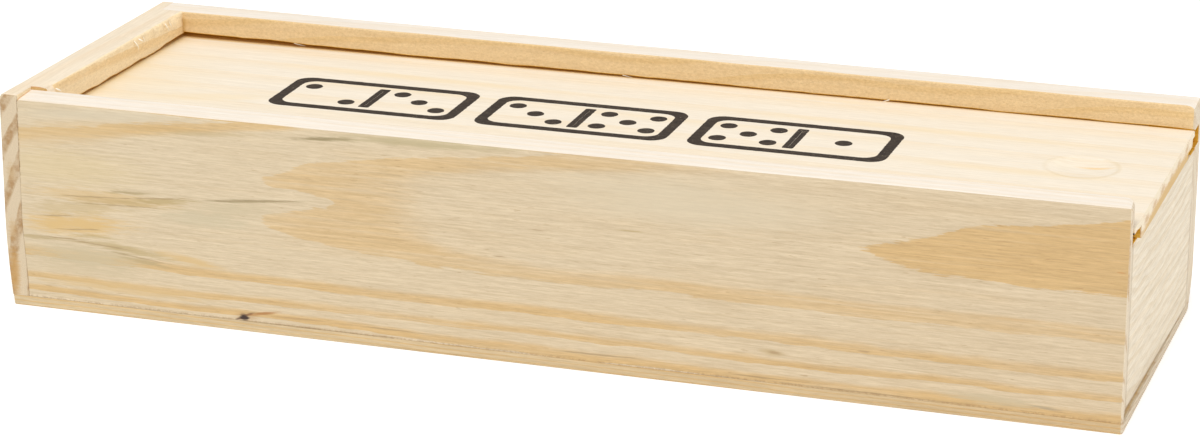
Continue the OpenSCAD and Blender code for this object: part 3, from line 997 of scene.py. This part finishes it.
# Splinters on the torn edges, each from its root to its tip with a half width and a sideways bow. Those on
# the closed end are measured from its rim's inner face, and those on the back from the back rim's.
endSplinters = (
    ((-0.15, 5, 28.85), (0.3, 5.3, 27.4), 0.14, (0.25, 0.05, 0)),
    ((-0.15, 6.4, 28.8), (0.2, 7.2, 28.2), 0.09, (0.2, 0, 0)),
    ((-0.1, 7.6, 28.85), (0.3, 7.2, 28.1), 0.09, (0.15, 0, 0)),
    ((-0.1, 14.6, 28.9), (0.3, 15, 27.7), 0.13, (0.2, -0.1, 0)),
    ((-0.15, 15.9, 28.85), (0.4, 15.5, 28.1), 0.09, (0.15, 0, 0)),
    ((-0.2, -18.3, 28.5), (0.3, -17.6, 28), 0.1, (0.15, 0, 0)),
)
backSplinters = (
    ((-3.5, 0.05, 25.95), (-2, -0.3, 25.8), 0.08, (0, -0.1, 0.05)),
    ((34, 0.05, 26), (33.1, -0.4, 25.78), 0.07, (0, -0.1, 0)),
    ((-52, 0.05, 26.1), (-50.2, -0.25, 25.95), 0.07, (0, -0.08, 0)),
)


def addSplinters():
    # a blade: the straight line from root to tip plus bow * sin(pi t), its four corners closing to a point
    t = np.linspace(0, 1, 9)[:, None]
    skins, faces, total = [], [], 0
    for k, (root, tip, half, bow) in enumerate(endSplinters + backSplinters):
        shift = (rimFace(root[1]), 0, 0)
        if k >= len(endSplinters):
            shift = (0, sideLow[1] - alongCase(root[0], caseWear["backRim"]), 0)
        root, tip = np.add(root, shift), np.add(tip, shift)
        line = root + (tip - root) * t + np.array(bow) * np.sin(pi * t)
        side = np.cross(tip - root, (1, 0.3, 0.2))
        side /= np.linalg.norm(side)
        flat = np.cross(tip - root, side)
        side, flat = side * half, flat / np.linalg.norm(flat) * half * 0.4
        width = 1 - t ** 1.6 + 0.01 / half
        ring = np.stack([line + way * width for way in (side, flat, -side, -flat)], 1)
        skins.append(ring.reshape(-1, 3))
        last = total + (len(t) - 1) * 4
        faces += (np.array(skinFaces(len(t), 4)) + total).tolist()
        faces += [[total + k for k in (3, 2, 1, 0)], [last + k for k in (0, 1, 2, 3)]]
        total += len(t) * 4
    makePiece("splinters", np.concatenate(skins), faces, np.zeros(len(faces), int), [splinterPine],
              "box")


# Marks on the wood, as addSpots takes them: knots, resin lines, grey-green stain and tan patches
olive, grey, tan, brown = (0.44, 0.33, 0.15), (0.52, 0.435, 0.28), (0.61, 0.435, 0.21), (0.33, 0.21, 0.1)
orange, lidTan = (0.55, 0.3, 0.1), (0.86, 0.69, 0.43)
frontMarks = (
    (-66, 20, 16, 3.5, (0.63, 0.5, 0.27), 0.45, 0.8), (-66, 24.6, 15, 2.4, (0.61, 0.44, 0.23), 0.5, 1, 8),
    (-60, 27.6, 18, 1.2, (0.61, 0.53, 0.39), 0.6, 0.8, 3), (-63, 7.8, 12, 2.2, grey, 0.8, 1.2),
    (-70, 9.9, 6, 0.5, (0.42, 0.32, 0.16), 0.7, 1.4), (-57, 9.5, 11, 0.8, olive, 0.7, 1.5, -5),
    (-54.5, 8, 5, 0.45, (0.42, 0.32, 0.16), 0.7, 1.5, -6),
    (-65, 12.2, 11, 2, (0.62, 0.425, 0.18), 0.95, 1.3, 3), (-62, 10.8, 5, 0.35, olive, 0.6, 1.4),
    (-48, 8.9, 7, 0.8, tan, 0.9, 1, -8), (-61, 16.4, 14, 1.3, tan, 0.7, 1.2),
    (-64, 14.6, 10, 1.3, (0.5, 0.37, 0.17), 0.5, 1.6, 5), (-46, 14.8, 9, 1.6, (0.52, 0.45, 0.3), 0.6, 1.4),
    (-58, 16, 10, 0.8, (0.5, 0.36, 0.17), 0.75, 1.6, 1), (-52, 16.7, 7, 0.6, olive, 0.8, 1.4, 6),
    (-57, 17.4, 4, 0.3, (0.33, 0.25, 0.11), 0.7, 1.8, 2), (-42, 16.6, 8, 1.6, grey, 0.6, 1.6, 4),
    (-40, 18, 10, 0.3, (0.28, 0.215, 0.1), 0.75, 1.1, 5.5),
    (-64, 5.9, 11, 0.9, (0.55, 0.45, 0.29), 0.6, 1.4), (-58, 4, 17, 1.1, tan, 0.7, 1, -1),
    (-29, 27.5, 7, 0.35, (0.24, 0.19, 0.08), 0.8, 1.3, 5), (-45, 26.6, 10, 0.5, olive, 0.35, 1.6, 4),
    (-16, 28.2, 16, 0.9, (0.46, 0.385, 0.22), 0.8, 1, 1),
    (-40.6, 2, 2.2, 0.85, (0.45, 0.28, 0.13), 0.6, 1),
    (-40.9, 1.9, 0.95, 0.6, (0.035, 0.015, 0.01), 1, 1.1, 0, 0.5),
    (-41.8, 1.6, 0.7, 0.2, (0.12, 0.06, 0.03), 0.8, 0.7, 15),
    (-40.1, 2.45, 1, 0.25, (0.12, 0.05, 0.02), 0.85, 0.7, 20),
    (-38.2, 2.75, 3, 0.32, (0.4, 0.19, 0.06), 0.9, 0.7, 11), (-33, 2.6, 5, 0.25, brown, 0.3, 0.7, 2),
    (30.6, 5.5, 2.3, 0.62, (0.48, 0.36, 0.19), 0.75, 0.8), (30.9, 5.5, 1.1, 0.3, brown, 0.5),
    (59, 2.6, 9, 0.9, grey, 0.7, 1.4, -2), (65.5, 2.3, 2.4, 0.3, (0.36, 0.3, 0.2), 0.6, 1.2, -6),
    (20, 24, 26, 4.5, (0.62, 0.54, 0.39), 0.6, 0.5), (12.2, 19.5, 3, 0.12, olive, 0.7, 1.4),
    (-0.5, 18.3, 1.6, 0.12, brown, 0.5, 1), (-5.5, 14.2, 1.3, 0.14, brown, 0.6, 1),
    (21, 17.3, 1.2, 0.12, brown, 0.4, 1), (42.5, 7, 1.2, 0.16, brown, 0.55, 1.2),
    (62, 13.4, 4.5, 0.3, (0.58, 0.4, 0.2), 0.6, 1.6), (73.9, 20.8, 0.8, 0.16, orange, 0.8),
    (61, 0.9, 10, 0.28, (0.52, 0.36, 0.18), 0.6, 0.7, 4))
thinMarks = tuple((x, z, long, 0.16, (0.33, 0.23, 0.11), 0.6, 1.6, tilt) for x, z, long, tilt in (
    (-66, 10.1, 5.5, 0), (-61, 9.7, 6, -3), (-55, 8.5, 6, -6), (-62, 16.3, 7, 3), (-53, 17, 6, 5),
    (-58, 15.5, 8, 2), (-67, 13.2, 4, 4), (-64, 11.6, 4, 5), (-20, 2.6, 9, 0), (8, 2.5, 10, 1), (30, 2, 8, 0),
    (-30, 1.5, 18, 0), (45, 1.6, 16, 0)))
lidMarks = (
    (-53, -6, 11, 2.6, lidTan, 0.5, 1, 14), (-30, 11, 30, 1.7, lidTan, 0.5, 0.9, -1),
    (40, 9.2, 36, 1.4, lidTan, 0.45, 0.9, -1), (-28, 4.7, 18, 0.9, lidTan, 0.3, 0.9),
    (12, 3.2, 26, 0.8, lidTan, 0.3, 0.9), (56, -4.5, 18, 1.5, lidTan, 0.35, 0.9),
    (28, 18.3, 16, 1.1, lidTan, 0.3, 0.9, -3), (61.2, 0.8, 2.8, 2.6, (0.86, 0.76, 0.58), 0.3, 0.5),
    (-66, -2, 15, 24, (0.84, 0.66, 0.38), 0.3, 0.4, 0, 0.95),
    (65.5, 1.2, 3.4, 0.5, (0.85, 0.58, 0.26), 0.75, 0.9))
stripMarks = (
    (-73.9, 4.5, 1.1, 5, (0.5, 0.28, 0.08), 0.75, 1),
    (-73.9, 10.5, 0.9, 2, (0.48, 0.29, 0.11), 0.5, 1.2),
    (-73.8, 18.5, 0.9, 2, (0.48, 0.31, 0.13), 0.4, 1.2))
lidEndMarks = tuple((y, 24.6 + 0.15 * (k % 3), 2.4 - 0.3 * (k % 2), 0.8, (0.57, 0.38, 0.2), 0.8, 1.2)
                    for k, y in enumerate((-15, -9.5, -4, 2.5, 8, 14)))
lidEndMarks += ((1, 23.2, 26, 1.75, (0.62, 0.41, 0.17), 1, 0.7, 0, 0.4),)
# the lid: its seam tint here paints the shade beside the rims and round the recess
lidLook = {**pineLook, "pale": (0.85, 0.755, 0.617), "late": (0.84, 0.675, 0.45),
           "streak": (0.83, 0.685, 0.47),
           "lateStart": 0.35, "lateFull": 0.9, "lateStrength": 0.4, "ragged": 0.25, "fibres": 0.3,
           "streaks": 0.25, "dashes": 0.08, "evenSeam": True, "seamStrength": 0.7,
           "seamTone": (0.58, 0.38, 0.08)}
# the boards' tops: paler and whiter than their faces, partly planed wood and partly painted sheen for light
# glancing off the tops
rimLook = {**lidLook, "pale": (0.845, 0.764, 0.66), "late": (0.83, 0.7, 0.54), "streak": (0.81, 0.7, 0.55),
           "lateStrength": 0.5, "ragged": 0.1, "seamStrength": 0.8, "seamTone": (0.62, 0.3, 0.07)}
splinterPine = longFinish("splinterPine", rimLook, pale=(0.97, 0.92, 0.82), late=(0.95, 0.89, 0.77))
# the front's darkening towards its right end is painted shade
frontPine = longFinish("pineFront", pineLook, spots=frontMarks + thinMarks, fade=(0.965, 0.94, 0.92))
rimPine = longFinish("pineRim", rimLook)
crossPine = longFinish("pineCross", pineLook, "Y")
# the closed end's top: paler, partly planed wood and partly painted sheen like the other tops
crossRim = longFinish("pineCrossRim", rimLook, "Y", pale=(0.825, 0.705, 0.54), late=(0.8, 0.63, 0.43))
crossGroove = longFinish("pineCrossGroove", grooveLook, "Y")
openPine = longFinish("pineOpenEnd", pineLook, "Y", pale=(0.72, 0.63, 0.49), late=(0.66, 0.54, 0.37),
                      lateStart=0.2, lateFull=0.8, lateStrength=0.7, evenSeam=True, seamStrength=0.62,
                      seamTone=(0.33, 0.21, 0.1))
crossEnd = endFinish("pineCrossEnd", endLook, "Y", stripMarks, "XZ", pale=(0.63, 0.51, 0.35),
                     late=(0.37, 0.21, 0.08), lateStart=0.4, lateFull=0.6, lateStrength=0.95)
crossSawn = longFinish("pineCrossSawn", sawnLook, "Y", pale=(0.92, 0.74, 0.48), late=(0.86, 0.63, 0.34),
                       streak=(0.82, 0.61, 0.37))
panelPine = longFinish("panelFace", pineLook, pale=(0.6, 0.47, 0.285), fade=(0.9, 0.84, 0.76))
panelEnd = endFinish("panelEnd", endLook)
lidPine = longFinish("lidFace", lidLook, spots=lidMarks, plane="XY")
# the lid's margins: sawn wood with a faint painted glow standing in for light bounced in the groove
lidMargin = longFinish("lidMargin", sawnLook, pale=(0.76, 0.57, 0.29), late=(0.71, 0.49, 0.21),
                       streak=(0.63, 0.44, 0.21), seamStrength=0, glow=(0.02, 0.008, 0))
# the lid's worn tips and broken edge: ochre wear with the groove's painted glow
lidWornAndGlow = longFinish("lidWornAndGlow", grooveLook, pale=(0.7, 0.44, 0.08))
lidEnd = endFinish("lidEnd", endLook, spots=lidEndMarks, pale=(0.83, 0.72, 0.54), late=(0.8, 0.64, 0.46))

addSideBoards()
addClosedEnd()
addOpenEnd()
addPanel()
addLid()
addEmblem()
addSplinters()
